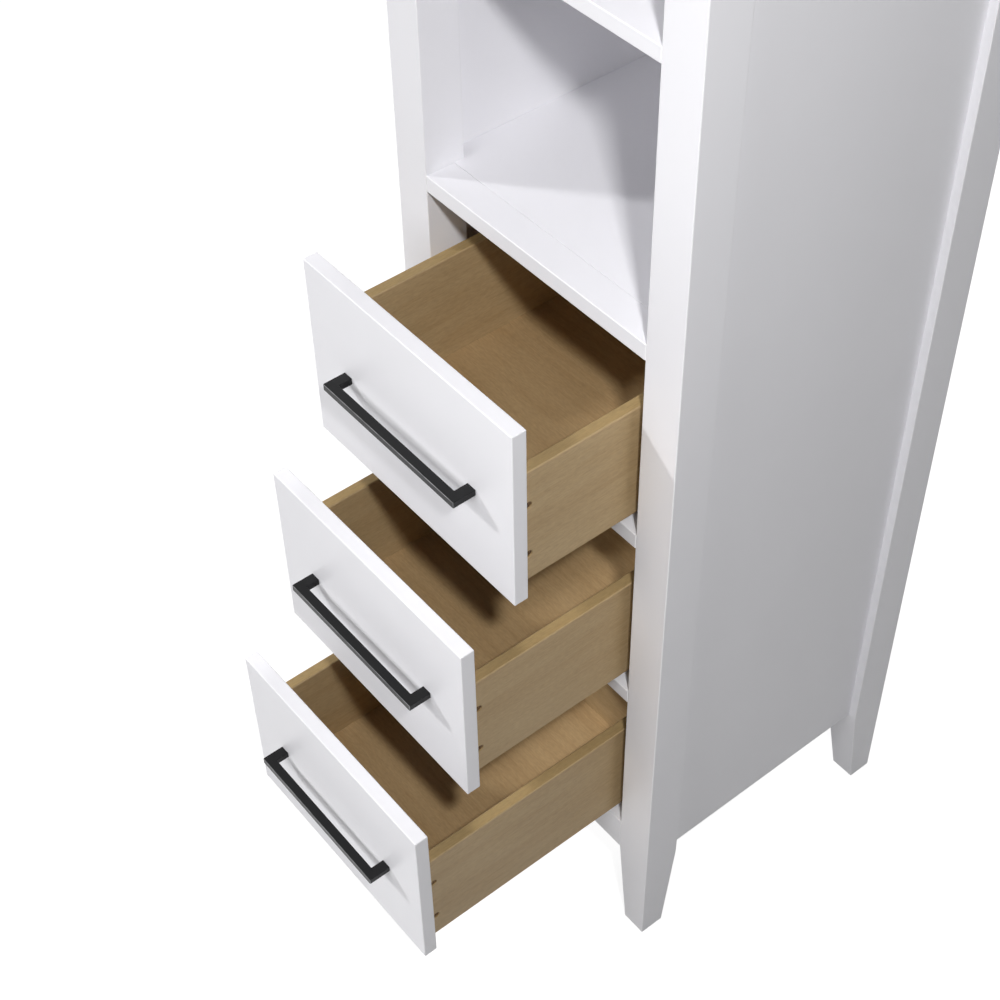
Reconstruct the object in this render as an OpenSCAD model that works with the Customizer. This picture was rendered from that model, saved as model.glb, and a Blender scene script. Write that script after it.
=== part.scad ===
// Bathroom storage tower: a tall post-and-panel cabinet with three inset drawers below
// and two open compartments above.
// All lengths are in millimetres.  +X is to the right when facing the front, +Y goes
// to the back and +Z is up.  The floor is at Z = 0.

/* [Cabinet] */
// Overall width, over the posts
cabinet_w = 480; // [440:5:560]
// Overall depth, over the posts
cabinet_d = 460; // [440:5:520]
// Height from the floor to the top of the top board
cabinet_h = 1800; // [1700:10:1900]
// Width and depth of each square post
post_w = 55; // [50:1:64]
// Height of the tapered leg, from the floor to the lowest rail
leg_h = 158; // [100:2:200]
// Width of the foot at the floor
foot_w = 37; // [26:1:44]
// Flat that eases the long edges of the posts and rails
edge_ease = 1.2; // [0.6:0.2:2]

/* [Panels] */
// Thickness of the side panels
side_t = 22; // [18:1:26]
// Depth that a side panel lies below the outer face of its posts
side_recess = 12; // [8:1:14]
// Thickness of the back panel
back_t = 9; // [6:1:12]
// Depth that the back panel lies below the rear face of the posts
back_recess = 12; // [8:1:14]
// Depth of the grooves in the posts that hold the panels
groove_d = 10; // [6:1:12]
// Thickness of the top board
top_t = 22; // [18:1:30]

/* [Rails and shelves] */
// Height of the narrow front rails
rail_h = 22; // [18:1:26]
// Depth of the narrow front rails, front to back
rail_d = 40; // [34:1:46]
// Height of the bottom rails
bottom_rail_h = 58; // [50:1:70]
// Thickness of the bottom rails and the top rear rail
back_rail_t = 22; // [18:1:24]
// Length of the tenons on the rails
tenon_l = 10; // [8:1:12]
// Thickness of the deck over the drawers
deck_t = 18; // [16:1:20]
// Thickness of the upper shelf
shelf_t = 18; // [15:1:22]
// Clear height of the lower open compartment
lower_bay_h = 332; // [280:4:360]
// Thickness of the bottom panel
bottom_t = 12; // [9:1:15]
// Height of the bottom panel above the lower edge of the bottom rails
bottom_lift = 6; // [4:1:20]
// Depth of the housings in the side panels that hold the shelves
housing_d = 6; // [4:1:8]

/* [Drawers] */
// Height of a drawer front
front_h = 257; // [230:1:270]
// Thickness of a drawer front
front_t = 19; // [16:1:22]
// Gap beside a drawer front
side_gap = 3; // [2:0.5:4]
// Gap above and below a drawer front
end_gap = 4; // [2:0.5:5]
// Distance from the side of the opening to the drawer box
box_side_gap = 14; // [12:0.5:16]
// Height of a drawer box
box_h = 166; // [140:2:180]
// Clearance between a drawer box and the back panel
box_rear_gap = 20; // [10:1:40]
// Height of the drawer box above the lower edge of its front
box_lift = 15; // [15:1:20]
// Thickness of the drawer box sides
box_t = 15; // [13:1:16]
// Thickness of the drawer box bottom
box_bottom_t = 6; // [5:1:8]
// Height of the drawer box bottom above the lower edge of the sides
box_recess = 13; // [13:1:16]
// Travel of the top drawer from closed, as it stands
top_open = 173; // [0:1:340]
// Travel of the middle drawer from closed, as it stands
middle_open = 249; // [0:1:340]
// Travel of the bottom drawer from closed, as it stands
bottom_open = 329; // [0:1:340]

/* [Handles] */
// Distance between the legs of a handle, centre to centre
handle_pitch = 224; // [160:32:288]
// Distance that a handle stands out from its drawer front
handle_reach = 30.5; // [26:0.5:36]
// Height of the handle bar
handle_h = 9; // [8:0.5:12]
// Depth of the handle bar
handle_bar_d = 12.5; // [10:0.5:14]
// Width of a handle leg
handle_leg_w = 14; // [12:0.5:16]
// Flat that eases the front edges and the corners of a handle
handle_ease = 0.8; // [0.4:0.1:1.2]

/* [Slides] */
// Thickness of the slide steel
slide_steel = 1.5; // [1.2:0.1:1.5]
// Outer width of the slide channels
channel_w = 19; // [18:0.5:22]
// Clearance between sliding members
slide_play = 0.3; // [0.25:0.05:0.4]
// Distance from the back of a drawer box front to its slides
slide_setback = 3; // [1:1:6]
// Height of the flange that is screwed to the cleat
flange_h = 30; // [26:1:36]
// Diameter of the pins that hook the slides into a drawer box's back
hook_pin_d = 5; // [4:0.5:6]
// Height of the wooden cleats that carry the slides
cleat_h = 50; // [46:2:60]

/* [Screws] */
// Shank diameter of the wood screws
screw_d = 4; // [3:0.5:5]
// Head diameter of the wood screws
screw_head_d = 9.5; // [7:0.5:10]
// Depth of a wood screw's head below the face of the wood
screw_sink = 1.5; // [0.5:0.1:2]
// Distance of the corner screws from the ends of a drawer box
corner_screw_in = 10; // [6:0.5:10]
// Spacing of the screws up each corner of a drawer box
corner_screw_pitch = 76; // [60:2:90]
// Head diameter of the handle screws
handle_screw_head_d = 8.5; // [7:0.5:10]

/* [Fits] */
// Clearance round tenons, grooves and housings
fit = 0.2; // [0.1:0.05:0.3]

/* [Hidden] */
$fn = 40;

// Finishes
PAINT = [0.94, 0.94, 0.95];
MAPLE = [0.80, 0.66, 0.47];
PLY = [0.72, 0.56, 0.38];
CLEAT_WOOD = [0.82, 0.72, 0.56];
BLACK = [0.06, 0.06, 0.06];
ZINC = [0.70, 0.71, 0.73];

// A little more than nothing, so that cutters pass right through a face
OVER = 1;

// Widths across the cabinet, measured from the middle plane
half_w = cabinet_w / 2;
opening_x = half_w - post_w;                          // inner face of a post
panel_out_x = half_w - side_recess;                   // outer face of a side panel
panel_in_x = panel_out_x - side_t;                    // inner face of a side panel
housing_x = panel_in_x + housing_d;                   // end of a shelf in its housing

// Depths, measured back from the front face of the posts
rear_post_y = cabinet_d - post_w;                     // front face of the rear posts
back_y = cabinet_d - back_recess - back_t;            // inner face of the back panel
rear_rail_y = back_y - back_rail_t;                   // front face of the rear rails

// Heights
top_board_z = cabinet_h - top_t;
bottom_panel_z = leg_h + bottom_lift;
opening_h = front_h + 2 * end_gap;                    // one drawer opening
drawer_step = opening_h + rail_h;                     // from one drawer to the next
first_opening_z = leg_h + bottom_rail_h;
deck_top_z = first_opening_z + 3 * drawer_step;
deck_z = deck_top_z - deck_t;
shelf_z = deck_top_z + lower_bay_h;

// One drawer, measured from the lower edge of its front
front_w = 2 * (opening_x - side_gap);
box_x = opening_x - box_side_gap;                     // outer face of a box side
box_in_x = box_x - box_t;                             // inner face of a box side
inner_front_y = front_t;                              // back of the drawer front
box_l = back_y - box_rear_gap - front_t;              // length of a box, front to back
box_back_y = front_t + box_l;                         // rear end of the box
box_top_z = box_lift + box_h;
box_bottom_z = box_lift + box_recess;                 // underside of the box bottom
box_floor_z = box_bottom_z + box_bottom_t;
box_groove_d = 6;                                     // grooves for the box bottom
corner_screw_rise = 41;                               // lower screw above the box's edge
corner_screw_z = box_lift + corner_screw_rise;
corner_screw_zs = [corner_screw_z, corner_screw_z + corner_screw_pitch];

// Slides: section sizes are measured inward from the side of the opening and up
// from the lower edge of the drawer box
channel_clear = 1;                                    // between a channel and its box side
channel_s = box_side_gap + box_t + channel_clear;     // outer wall of the channels
channel_mid = channel_s + channel_w / 2;
lip_w = 2.5;                                          // lips that hold the middle member
web_z = -5;                                           // underside of the cabinet member
flange_z = -flange_h / 2;
lower_wall_h = 8;                                     // wall height of the lower channel
channel_gap = 1.3;                                    // between the two channels
upper_wall_h = box_recess - web_z - lower_wall_h - channel_gap;
beam_w = channel_w - 2 * slide_steel - 2 * slide_play;
beam_web_w = 4;
slide_y = front_t + box_t + slide_setback;            // front end of the slides, closed
slide_l = box_back_y - slide_y;
slide_screw_in = 40;                                  // end screws from the slide's ends
slide_screw_ys = [slide_y + slide_screw_in, slide_y + slide_l / 2, slide_y + slide_l - slide_screw_in];
hook_w = 10;                                          // width of the hooks
hook_rise = 12;                                       // hook pins above the channels
hook_pin_l = 10;                                      // length of a pin inside a box's back
slide_screw_z = 8;
slide_screw_l = 16;
slide_screw_head_d = 7;
slide_screw_head_h = 1.6;
cleat_drop = 20;                                      // cleat below the box's lower edge
cleat_screw_in = 45;                                  // cleat screws from the posts
cleat_screw_ys = [post_w + cleat_screw_in, rear_post_y - cleat_screw_in];
cleat_screw_down = 7;                                 // cleat screws below the cleat's top
cleat_screw_z = cleat_h - cleat_drop - cleat_screw_down;
cleat_screw_bite = 13;                                // length of screw inside a side panel
cleat_screw_l = panel_in_x - opening_x - screw_sink + cleat_screw_bite;
corner_screw_l = 32;
front_screw_x = 60;
front_screw_bite = 12;                                // length of screw inside a front
front_screw_l = box_t - screw_sink + front_screw_bite;
handle_screw_in = 9;                                  // length of screw inside a leg
handle_screw_head_h = 2.6;

// Travel of each drawer, from the top one down
opened = [top_open, middle_open, bottom_open];
// The model's origin lies under the middle of everything that stands on the floor
// plan, the open drawers and their handles included
reach_y = max(opened) + handle_reach;
front_y = (reach_y - cabinet_d) / 2;

// Height of the lower edge of drawer i, from the top one down
function drawer_z(i) = first_opening_z + end_gap + (2 - i) * drawer_step;

// Outline of a bar a by b with its four edges eased by e
function eased(a, b, e) = [
    [e, 0], [a - e, 0], [a, e], [a, b - e], [a - e, b], [e, b], [0, b - e], [0, e]
];

// Moves from the front plane of the posts to the model's origin
module in_frame() { translate([0, front_y, 0]) children(); }

// Draws its children on the left, or mirrored on the right
module on_side(side) { mirror([side > 0 ? 1 : 0, 0, 0]) children(); }

// Moves its children with drawer i; share 0.5 is the middle members' half travel
module with_drawer(i, share = 1) {
    in_frame() translate([0, -opened[i] * share, drawer_z(i)]) children();
}

// Bar along X, centred, from the corner at y, z, with its long edges eased
module bar_x(l, y, z, d, h, e = edge_ease) {
    translate([-l / 2, y, z]) rotate([90, 0, 90]) linear_extrude(l) polygon(eased(d, h, e));
}

// Rail between two posts, with a stub tenon on each end; grow widens it into the
// cutter for the mortises
module rail_tenons(y, z, d, h, grow = 0) {
    inset_y = d / 4;
    inset_z = h / 6;
    reach = tenon_l + (grow > 0 ? 0 : -fit);
    translate([-opening_x - reach, y + inset_y - grow, z + inset_z - grow])
        cube([2 * (opening_x + reach), d - 2 * inset_y + 2 * grow, h - 2 * inset_z + 2 * grow]);
}
module rail(y, z, d, h) {
    in_frame() union() {
        bar_x(2 * opening_x, y, z, d, h);
        rail_tenons(y, z, d, h);
    }
}

// Every rail's place: y, z, depth and height
FRONT_RAILS = [
    [0, top_board_z - rail_h, rail_d, rail_h],
    [0, deck_top_z - rail_h, rail_d, rail_h],
    [0, first_opening_z + 2 * drawer_step - rail_h, rail_d, rail_h],
    [0, first_opening_z + drawer_step - rail_h, rail_d, rail_h],
    [0, leg_h, back_rail_t, bottom_rail_h]
];
REAR_RAILS = [
    [rear_rail_y, top_board_z - rail_h, back_rail_t, rail_h],
    [rear_rail_y, leg_h, back_rail_t, bottom_rail_h]
];
module placed_rail(r) { color(PAINT) rail(r[0], r[1], r[2], r[3]); }

// Square post whose two inner faces taper below the rails.  Its outer corner is at
// the origin, and it grows along +X and +Y
module post_blank() {
    taper = [[0, 0], [foot_w, 0], [post_w, leg_h], [post_w, top_board_z], [0, top_board_z]];
    intersection() {
        linear_extrude(top_board_z) polygon(eased(post_w, post_w, edge_ease));
        translate([0, post_w, 0]) rotate([90, 0, 0]) linear_extrude(post_w) polygon(taper);
        rotate([90, 0, 90]) linear_extrude(post_w) polygon(taper);
    }
}

// Side panel with its tongues; grow widens it into the cutter for the grooves
module side_board(grow = 0) {
    tongue = groove_d - (grow > 0 ? 0 : fit);
    translate([-panel_out_x - grow, post_w - tongue, leg_h - grow])
        cube([side_t + 2 * grow, rear_post_y - post_w + 2 * tongue, top_board_z - leg_h + 2 * grow]);
}

// Back panel with its tongues, or the cutter for its grooves
module back_board(grow = 0) {
    tongue = groove_d - (grow > 0 ? 0 : fit);
    translate([-opening_x - tongue, back_y - grow, leg_h - grow])
        cube([2 * (opening_x + tongue), back_t + 2 * grow, top_board_z - leg_h + 2 * grow]);
}

module left_front_post() {
    difference() {
        translate([-half_w, 0, 0]) post_blank();
        side_board(fit);
        for (r = FRONT_RAILS) rail_tenons(r[0], r[1], r[2], r[3], fit);
    }
}
module left_rear_post() {
    difference() {
        translate([-half_w, cabinet_d, 0]) mirror([0, 1, 0]) post_blank();
        side_board(fit);
        back_board(fit);
        for (r = REAR_RAILS) rail_tenons(r[0], r[1], r[2], r[3], fit);
    }
}
module front_post(side) { color(PAINT) in_frame() on_side(side) left_front_post(); }
module rear_post(side) { color(PAINT) in_frame() on_side(side) left_rear_post(); }

// Board that fills the cabinet from side housing to side housing, notched round the
// posts; grow widens it into the cutter for the housings
module notched_board(y0, y1, z, t, grow = 0) {
    x0 = opening_x - fit;
    x1 = housing_x + (grow > 0 ? 0 : -fit);
    yf = post_w + fit;
    yr = rear_post_y - fit;
    translate([0, 0, z - grow]) linear_extrude(t + 2 * grow) polygon([
        [-x0, y0], [x0, y0], [x0, yf], [x1, yf], [x1, yr], [x0, yr],
        [x0, y1], [-x0, y1], [-x0, yr], [-x1, yr], [-x1, yf], [-x0, yf]
    ]);
}

module left_side_board() {
    difference() {
        side_board();
        // Housings run between the posts
        for (b = [[bottom_panel_z, bottom_t], [deck_z, deck_t], [shelf_z, shelf_t]])
            translate([-housing_x, post_w, b[0] - fit])
                cube([2 * housing_d, rear_post_y - post_w, b[1] + 2 * fit]);
        // Pilot holes for the cleat screws
        left_cleat_screws(fit);
    }
}
module side_panel(side) { color(PAINT) in_frame() on_side(side) left_side_board(); }
module back_panel() { color(PAINT) in_frame() back_board(); }

module top_board() {
    color(PAINT) in_frame() intersection() {
        bar_x(cabinet_w, 0, top_board_z, cabinet_d, top_t);
        translate([-half_w, cabinet_d, top_board_z]) rotate([90, 0, 0])
            linear_extrude(cabinet_d) polygon(eased(cabinet_w, top_t, edge_ease));
    }
}

// The upper shelf shows its front edge, which is eased above and below
module upper_shelf() {
    color(PAINT) in_frame() intersection() {
        notched_board(0, back_y, shelf_z, shelf_t);
        bar_x(2 * housing_x, 0, shelf_z, back_y + edge_ease, shelf_t);
    }
}
module deck_panel() { color(PAINT) in_frame() notched_board(rail_d, back_y, deck_z, deck_t); }
module bottom_panel() {
    color(PAINT) in_frame() notched_board(back_rail_t, rear_rail_y, bottom_panel_z, bottom_t);
}

// Countersunk wood screw of length l along -Z, its head sunk below the plane Z = 0;
// grow widens it into the cutter for its hole, which is open above the head
module wood_screw(l, grow = 0) {
    head_h = (screw_head_d - screw_d) / 2;
    wide_d = screw_head_d + 2 * grow;
    translate([0, 0, -screw_sink]) {
        translate([0, 0, -l - grow]) cylinder(d = screw_d + 2 * grow, h = l + grow);
        translate([0, 0, -head_h]) cylinder(d1 = screw_d + 2 * grow, d2 = wide_d, h = head_h);
        if (grow > 0) translate([0, 0, -fit]) cylinder(d = wide_d, h = fit + screw_sink + OVER);
    }
}

// Cleats carry the slides: they fill the step between the side panel and the post
module left_cleat(i) {
    translate([-panel_in_x, post_w, drawer_z(i) + box_lift - cleat_drop])
        cube([panel_in_x - opening_x, rear_post_y - post_w, cleat_h]);
}
module left_cleat_screws(grow = 0) {
    for (i = [0:2], y = cleat_screw_ys)
        translate([-opening_x, y, drawer_z(i) + box_lift + cleat_screw_z])
            rotate([0, 90, 0]) wood_screw(cleat_screw_l, grow);
}
module left_slide_screws(grow = 0) {
    for (i = [0:2], y = slide_screw_ys)
        translate([-opening_x + slide_steel, y, drawer_z(i) + box_lift + slide_screw_z])
            rotate([0, 90, 0]) {
                translate([0, 0, -slide_screw_l])
                    cylinder(d = screw_d + 2 * grow, h = slide_screw_l + grow);
                cylinder(d = slide_screw_head_d, h = slide_screw_head_h);
            }
}
module slide_cleats(i) {
    color(CLEAT_WOOD) in_frame() for (side = [-1, 1]) on_side(side) difference() {
        left_cleat(i);
        left_cleat_screws(fit);
        left_slide_screws(fit);
    }
}
module cleat_screws() { color(ZINC) in_frame() for (side = [-1, 1]) on_side(side) left_cleat_screws(); }
module slide_screws() { color(ZINC) in_frame() for (side = [-1, 1]) on_side(side) left_slide_screws(); }

// Slide sections.  x runs inward from the side of the opening, y is height above the
// lower edge of the drawer box
module lower_channel_section() {
    s0 = channel_s;
    s1 = channel_s + channel_w;
    z1 = web_z + lower_wall_h;
    t = slide_steel;
    polygon([
        [0, flange_z], [t, flange_z], [t, web_z], [s1, web_z], [s1, z1],
        [s1 - t - lip_w, z1], [s1 - t - lip_w, z1 - t], [s1 - t, z1 - t], [s1 - t, web_z + t],
        [s0 + t, web_z + t], [s0 + t, z1 - t], [s0 + t + lip_w, z1 - t], [s0 + t + lip_w, z1],
        [s0, z1], [s0, web_z + t], [t, web_z + t], [t, flange_z + flange_h], [0, flange_z + flange_h]
    ]);
}
module beam_section() {
    a = beam_w / 2;
    b = beam_web_w / 2;
    z0 = web_z + slide_steel + slide_play;
    z1 = web_z + lower_wall_h - slide_steel - slide_play;
    z2 = box_recess - upper_wall_h + slide_steel + slide_play;
    z3 = box_recess - slide_steel - slide_play;
    translate([channel_mid, 0]) polygon([
        [-a, z0], [a, z0], [a, z1], [b, z1], [b, z2], [a, z2],
        [a, z3], [-a, z3], [-a, z2], [-b, z2], [-b, z1], [-a, z1]
    ]);
}
module upper_channel_section() {
    s0 = channel_s;
    s1 = channel_s + channel_w;
    z0 = box_recess - upper_wall_h;
    z1 = box_recess;
    t = slide_steel;
    polygon([
        [s0, z0], [s0 + t + lip_w, z0], [s0 + t + lip_w, z0 + t], [s0 + t, z0 + t], [s0 + t, z1 - t],
        [s1 - t, z1 - t], [s1 - t, z0 + t], [s1 - t - lip_w, z0 + t], [s1 - t - lip_w, z0], [s1, z0],
        [s1, z1], [s0, z1]
    ]);
}

// Runs a slide section from the slides' front end to their rear end
module slide_run() {
    for (side = [-1, 1]) on_side(side)
        translate([-opening_x, slide_y + slide_l, box_lift])
            rotate([90, 0, 0]) linear_extrude(slide_l) children();
}
module cabinet_members(i) {
    color(ZINC) difference() {
        with_drawer(i, 0) slide_run() lower_channel_section();
        in_frame() for (side = [-1, 1]) on_side(side) for (y = slide_screw_ys)
            translate([-opening_x - OVER, y, drawer_z(i) + box_lift + slide_screw_z])
                rotate([0, 90, 0]) cylinder(d = screw_d + 2 * fit, h = slide_steel + 2 * OVER);
    }
}
module middle_members(i) { color(ZINC) with_drawer(i, 0.5) slide_run() beam_section(); }
// Hook at the rear end of each drawer member: it turns up behind the box, and its pin
// holds the box's back; grow widens the pin into the cutter for its hole
module slide_hooks(grow = 0) {
    t = slide_steel;
    for (side = [-1, 1]) on_side(side)
        translate([channel_mid - opening_x, box_back_y, box_lift + box_recess]) {
            translate([0, t, hook_rise]) rotate([90, 0, 0])
                cylinder(d = hook_pin_d + 2 * grow, h = t + hook_pin_l + grow);
            if (grow == 0) {
                translate([-hook_w / 2, 0, -t]) cube([hook_w, t, t + hook_rise + hook_w / 2]);
                translate([-hook_w / 2, -t, -t]) cube([hook_w, 2 * t, t]);
            }
        }
}
module drawer_members(i) {
    color(ZINC) with_drawer(i) {
        slide_run() upper_channel_section();
        slide_hooks();
    }
}

// Drawer front: a plain slab with its edges eased
module drawer_front(i) {
    color(PAINT) with_drawer(i) difference() {
        intersection() {
            bar_x(front_w, 0, 0, front_t, front_h);
            translate([-front_w / 2, front_t, 0]) rotate([90, 0, 0])
                linear_extrude(front_t) polygon(eased(front_w, front_h, edge_ease));
        }
        drawer_screws_placed(fit);
        handle_screws_placed(fit);
    }
}

module box_bottom_board(grow = 0) {
    x = box_in_x + box_groove_d - (grow > 0 ? 0 : fit);
    y0 = inner_front_y + box_t - box_groove_d + (grow > 0 ? 0 : fit);
    translate([-x, y0, box_bottom_z - grow])
        cube([2 * x, box_back_y - y0 + (grow > 0 ? OVER : 0), box_bottom_t + 2 * grow]);
}
module drawer_inner_front(i) {
    color(MAPLE) with_drawer(i) difference() {
        bar_x(2 * box_in_x, inner_front_y, box_lift, box_t, box_h);
        box_bottom_board(fit);
        drawer_screws_placed(fit);
        handle_screws_placed(fit);
    }
}
module drawer_side(i, side) {
    color(MAPLE) with_drawer(i) on_side(side) difference() {
        translate([-box_x, box_back_y, box_lift]) rotate([90, 0, 0])
            linear_extrude(box_l) polygon(eased(box_t, box_h, edge_ease));
        box_bottom_board(fit);
        drawer_screws_placed(fit);
    }
}
module drawer_back(i) {
    color(MAPLE) with_drawer(i) difference() {
        bar_x(2 * box_in_x, box_back_y - box_t, box_floor_z, box_t, box_top_z - box_floor_z);
        drawer_screws_placed(fit);
        slide_hooks(fit);
    }
}
module drawer_bottom(i) { color(PLY) with_drawer(i) box_bottom_board(); }

// Screws that join the box corners and hold the drawer front to the box
module drawer_screws_placed(grow = 0) {
    for (side = [-1, 1]) on_side(side)
        for (y = [inner_front_y + corner_screw_in, box_back_y - corner_screw_in], z = corner_screw_zs)
            translate([-box_x, y, z]) rotate([0, -90, 0]) wood_screw(corner_screw_l, grow);
    for (x = [-front_screw_x, front_screw_x], z = corner_screw_zs)
        translate([x, inner_front_y + box_t, z]) rotate([-90, 0, 0]) wood_screw(front_screw_l, grow);
}
module drawer_screws(i) { color(ZINC) with_drawer(i) drawer_screws_placed(); }

// Bar handle: one flat bar turned back into a leg at each end
module handle_bar() {
    outer = (handle_pitch + handle_leg_w) / 2;
    inner = (handle_pitch - handle_leg_w) / 2;
    half_h = handle_h / 2;
    r = handle_reach;
    e = handle_ease;
    intersection() {
        translate([0, 0, -half_h]) linear_extrude(handle_h) polygon([
            [-outer, 0], [-outer, e - r], [e - outer, -r], [outer - e, -r], [outer, e - r], [outer, 0],
            [inner, 0], [inner, handle_bar_d - r], [-inner, handle_bar_d - r], [-inner, 0]
        ]);
        translate([-outer, 0, 0]) rotate([90, 0, 90]) linear_extrude(2 * outer) polygon([
            [0, -half_h], [0, half_h], [e - r, half_h], [-r, half_h - e], [-r, e - half_h], [e - r, -half_h]
        ]);
    }
}
module handle(i) {
    color(BLACK) with_drawer(i) difference() {
        translate([0, 0, front_h / 2]) handle_bar();
        handle_screws_placed(fit);
    }
}
// Machine screws from inside the box into the handle's legs
module handle_screws_placed(grow = 0) {
    shank = inner_front_y + box_t + handle_screw_in;
    for (x = [-handle_pitch / 2, handle_pitch / 2])
        translate([x, inner_front_y + box_t, front_h / 2]) rotate([-90, 0, 0]) {
            translate([0, 0, -shank - grow]) cylinder(d = screw_d + 2 * grow, h = shank + grow);
            if (grow == 0) cylinder(d = handle_screw_head_d, h = handle_screw_head_h);
        }
}
module handle_screws(i) { color(ZINC) with_drawer(i) handle_screws_placed(); }

front_post(-1);  // front_left_post
front_post(1);  // front_right_post
rear_post(-1);  // rear_left_post
rear_post(1);  // rear_right_post
side_panel(-1);  // left_side_panel
side_panel(1);  // right_side_panel
back_panel();
top_board();
placed_rail(FRONT_RAILS[0]);  // top_front_rail
placed_rail(FRONT_RAILS[1]);  // deck_front_rail
placed_rail(FRONT_RAILS[2]);  // upper_drawer_rail
placed_rail(FRONT_RAILS[3]);  // lower_drawer_rail
placed_rail(FRONT_RAILS[4]);  // bottom_front_rail
placed_rail(REAR_RAILS[0]);  // top_rear_rail
placed_rail(REAR_RAILS[1]);  // bottom_rear_rail
upper_shelf();
deck_panel();
bottom_panel();
slide_cleats(0);  // top_slide_cleats
slide_cleats(1);  // middle_slide_cleats
slide_cleats(2);  // bottom_slide_cleats
cleat_screws();
slide_screws();
cabinet_members(0);  // top_cabinet_members
cabinet_members(1);  // middle_cabinet_members
cabinet_members(2);  // bottom_cabinet_members
middle_members(0);  // top_middle_members
middle_members(1);  // middle_middle_members
middle_members(2);  // bottom_middle_members
drawer_members(0);  // top_drawer_members
drawer_members(1);  // middle_drawer_members
drawer_members(2);  // bottom_drawer_members
drawer_front(0);  // top_drawer_front
drawer_front(1);  // middle_drawer_front
drawer_front(2);  // bottom_drawer_front
drawer_inner_front(0);  // top_drawer_inner_front
drawer_inner_front(1);  // middle_drawer_inner_front
drawer_inner_front(2);  // bottom_drawer_inner_front
drawer_side(0, -1);  // top_drawer_left_side
drawer_side(1, -1);  // middle_drawer_left_side
drawer_side(2, -1);  // bottom_drawer_left_side
drawer_side(0, 1);  // top_drawer_right_side
drawer_side(1, 1);  // middle_drawer_right_side
drawer_side(2, 1);  // bottom_drawer_right_side
drawer_back(0);  // top_drawer_back
drawer_back(1);  // middle_drawer_back
drawer_back(2);  // bottom_drawer_back
drawer_bottom(0);  // top_drawer_bottom
drawer_bottom(1);  // middle_drawer_bottom
drawer_bottom(2);  // bottom_drawer_bottom
drawer_screws(0);  // top_drawer_screws
drawer_screws(1);  // middle_drawer_screws
drawer_screws(2);  // bottom_drawer_screws
handle(0);  // top_handle
handle(1);  // middle_handle
handle(2);  // bottom_handle
handle_screws(0);  // top_handle_screws
handle_screws(1);  // middle_handle_screws
handle_screws(2);  // bottom_handle_screws
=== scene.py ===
"""Finishes of the bathroom storage tower: painted posts, rails, shelves and drawer fronts, maple
drawer boxes, black bar handles, steel slides and screws, and the plain studio that it stands in.

All lengths are in metres. +X is to the right when facing the front, +Y goes to the back, +Z is up.
"""

import math

import bmesh
import bpy
import numpy as np
from mathutils import Matrix, Vector


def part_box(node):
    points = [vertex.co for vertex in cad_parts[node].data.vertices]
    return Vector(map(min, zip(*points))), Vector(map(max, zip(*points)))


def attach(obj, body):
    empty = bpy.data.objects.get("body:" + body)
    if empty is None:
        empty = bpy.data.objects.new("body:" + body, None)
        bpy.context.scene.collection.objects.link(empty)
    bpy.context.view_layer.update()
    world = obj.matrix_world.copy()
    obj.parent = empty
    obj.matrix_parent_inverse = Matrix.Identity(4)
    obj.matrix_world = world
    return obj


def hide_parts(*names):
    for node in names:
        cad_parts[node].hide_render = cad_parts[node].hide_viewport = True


bl_info = {
    "name": "Bathroom storage tower",
    "version": (1, 0, 0),
    "blender": (4, 5, 0),
    "location": "View3D > Sidebar > Tower",
    "description": "Builds the finished pieces of a bathroom storage tower around its frame",
    "category": "Object",
}

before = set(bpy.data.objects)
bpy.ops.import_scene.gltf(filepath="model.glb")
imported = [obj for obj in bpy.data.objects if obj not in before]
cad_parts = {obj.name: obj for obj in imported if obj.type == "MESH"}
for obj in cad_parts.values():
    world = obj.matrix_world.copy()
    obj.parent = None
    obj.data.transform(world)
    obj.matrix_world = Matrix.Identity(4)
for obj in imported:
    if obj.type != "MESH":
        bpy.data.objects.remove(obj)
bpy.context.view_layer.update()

DRAWERS = ("top", "middle", "bottom")
FRONT_RAILS = ("top_front_rail", "deck_front_rail", "upper_drawer_rail", "lower_drawer_rail",
               "bottom_front_rail")
REAR_RAILS = ("top_rear_rail", "bottom_rear_rail")
POSTS = {"front_left_post": (-1, -1), "front_right_post": (1, -1),
         "rear_left_post": (-1, 1), "rear_right_post": (1, 1)}
X, Y, Z = 0, 1, 2
NO_TINT = (1, 1, 1)

# Height at which the legs' taper starts, level with the bottom rail, and the front plane of the posts
LEG_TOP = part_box("bottom_front_rail")[0].z
POST_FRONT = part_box("front_left_post")[0].y

# Faces round an eased edge, columns round a screw, rings of its head and of each turn of its thread
EDGE_STEPS = 4
SCREW_COLUMNS = 24
HEAD_RINGS = 9
RINGS_PER_TURN = 4

# A screw's edges stay sharp from this angle on, and its points are merged within this distance
SHARP_FROM = math.radians(40)
WELD_DISTANCE = 1e-7

# Small forms of a screw in metres, with the point's width as a share of the shank's diameter and the
# slot's reach as a share of the head's
THREAD_DEPTH = 0.00045
THREAD_END = 0.004
POINT_LENGTH = 0.0015
POINT_WIDTH = 0.3
THINNEST_THREADED = 0.001
SLOT_HALF_WIDTH = 0.0007
SLOT_SIDE_BLEND = 0.0003
SLOT_END_BLEND = 0.0004
SLOT_DEPTH = 0.0014
SLOT_REACH = 0.3

# Height of the grain in the wood and of the draw lines in the steel, in metres
WOOD_RELIEF = 0.00006
STEEL_RELIEF = 0.00002

# Where the middle of a board's log lies outside the board, in metres
LOG_SEED = 7
LOG_NEAREST, LOG_FURTHEST = 0.03, 0.09
VENEER_LOG_DEPTH, VENEER_LOG_SHIFT_X, VENEER_LOG_SHIFT_Y = 0.02, 0.1, 0.04
CLEAT_LOG_DEPTH = 0.04

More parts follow.
